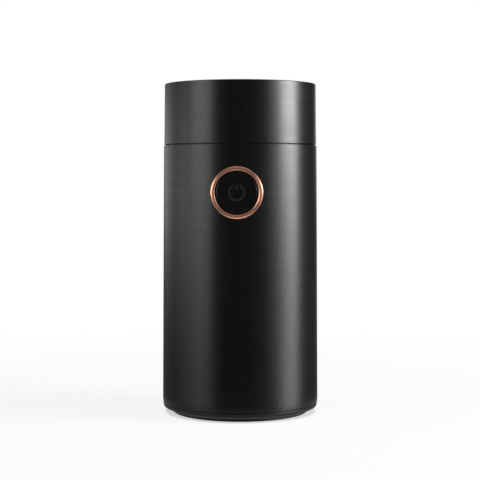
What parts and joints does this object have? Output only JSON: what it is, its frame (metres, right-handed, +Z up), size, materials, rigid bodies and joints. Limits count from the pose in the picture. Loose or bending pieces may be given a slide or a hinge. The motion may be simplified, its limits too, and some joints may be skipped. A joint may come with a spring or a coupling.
{
  "type": "electric coffee grinder",
  "caption": "Upright round coffee grinder with a push button, a lift-off lid, a lift-out steel cup with a blade, and a battery motor in its body.",
  "frame": {"origin": "centre of the body's axis in the plane that the rubber foot stands on", "axes": "+Z up along the body's axis, -Y towards the button, +Y towards the charging port"},
  "size_m": [0.08, 0.0802, 0.1682],
  "materials": {
    "satin_black": "satin black coat on moulded plastic, fine even grain",
    "black_plastic": "moulded black plastic, lightly textured",
    "gloss_black": "polished black plastic",
    "symbol_grey": "dark grey plastic moulded into the button",
    "rose_copper": "polished rose-copper plating",
    "soft_rubber": "black silicone rubber",
    "stainless": "brushed stainless steel",
    "plated_steel": "zinc-plated steel",
    "bronze": "sintered bronze",
    "copper_wire": "enamelled copper wire",
    "dark_iron": "laminated iron and ferrite",
    "carbon": "pressed carbon",
    "board_green": "green glass-epoxy board",
    "part_black": "moulded electronic parts",
    "connector_white": "natural nylon",
    "cell_wrap": "blue shrink wrap",
    "nickel": "nickel strip",
    "frame_grey": "grey moulded frame plastic",
    "lead_black": "PVC-covered lead"
  },
  "bodies": {
    "housing": {"housing_shell": "satin_black", "base_cover": "black_plastic", "foot_ring": "soft_rubber", "base_screws": "plated_steel", "cup_well": "black_plastic", "neck_seal": "soft_rubber", "motor_can": "plated_steel", "motor_magnets": "dark_iron", "motor_endbell": "black_plastic", "motor_terminals": "nickel", "motor_bushes": "bronze", "motor_brushes": "carbon", "motor_gasket": "soft_rubber", "motor_screws": "plated_steel", "shaft_seal": "soft_rubber", "battery_cells": "cell_wrap", "battery_link": "nickel", "battery_tabs": "nickel", "inner_frame": "frame_grey", "frame_screws": "plated_steel", "main_board": "board_green", "board_parts": "part_black", "wire_connectors": "connector_white", "charge_port": "plated_steel", "port_tongue": "part_black", "board_screws": "plated_steel", "button_ring": "rose_copper", "button_board": "board_green", "tact_switch": "part_black", "interlock_spring": "stainless", "interlock_switch": "part_black", "motor_leads": "lead_black", "battery_leads": "lead_black", "button_cable": "lead_black", "interlock_leads": "lead_black"},
    "cup": {"cup_bowl": "stainless", "cup_base": "black_plastic", "cup_bush": "bronze", "bush_nut": "plated_steel"},
    "blade": {"blade": "stainless", "blade_shaft": "plated_steel", "blade_spacer": "stainless", "blade_seal": "soft_rubber", "blade_nut": "stainless", "thrust_washer": "plated_steel", "driven_coupling": "black_plastic"},
    "rotor": {"drive_coupling": "gloss_black", "motor_shaft": "plated_steel", "rotor_core": "dark_iron", "rotor_windings": "copper_wire", "commutator": "copper_wire"},
    "lid": {"lid_shell": "satin_black", "lid_liner": "black_plastic", "lid_gasket": "soft_rubber"},
    "button": {"button_cap": "gloss_black", "button_symbol": "symbol_grey"},
    "plunger": {"tact_plunger": "part_black"},
    "rod": {"interlock_rod": "black_plastic"},
    "lever": {"switch_lever": "stainless"}
  },
  "joints": [
    {"name": "cup_lift", "type": "slide", "parent": "housing", "child": "cup", "axis": [0, 0, 1], "range_m": [0, 0.075]},
    {"name": "lid_lift", "type": "slide", "parent": "cup", "child": "lid", "axis": [0, 0, 1], "range_m": [0, 0.06]},
    {"name": "rotor_spin", "type": "hinge", "parent": "housing", "child": "rotor", "pos_m": [0, 0, 0.06], "axis": [0, 0, 1], "continuous": true},
    {"name": "blade_spin", "type": "hinge", "parent": "cup", "child": "blade", "pos_m": [0, 0, 0.1], "axis": [0, 0, 1], "continuous": true},
    {"name": "button_press", "type": "slide", "parent": "housing", "child": "button", "axis": [0, 1, 0], "range_m": [0, 0.0005], "stiffness_N_per_m": 2000, "springref_m": -0.0003},
    {"name": "plunger_press", "type": "slide", "parent": "housing", "child": "plunger", "axis": [0, 1, 0], "range_m": [0, 0.0005]},
    {"name": "rod_rise", "type": "slide", "parent": "housing", "child": "rod", "axis": [0, 0, 1], "range_m": [0, 0.0018], "deforming": ["interlock_spring"]},
    {"name": "lever_swing", "type": "hinge", "parent": "housing", "child": "lever", "pos_m": [-0.0052, 0.0339, 0.10165], "axis": [0, -1, 0], "range_deg": [0, 14]}
  ],
  "couplings": [
    {"joint": "blade_spin", "follows": "rotor_spin", "ratio": 1},
    {"joint": "plunger_press", "follows": "button_press", "ratio": 1},
    {"joint": "rod_rise", "follows": "lid_lift", "ratio": 0.03},
    {"joint": "lever_swing", "follows": "lid_lift", "rad_per_m": 4}
  ]
}
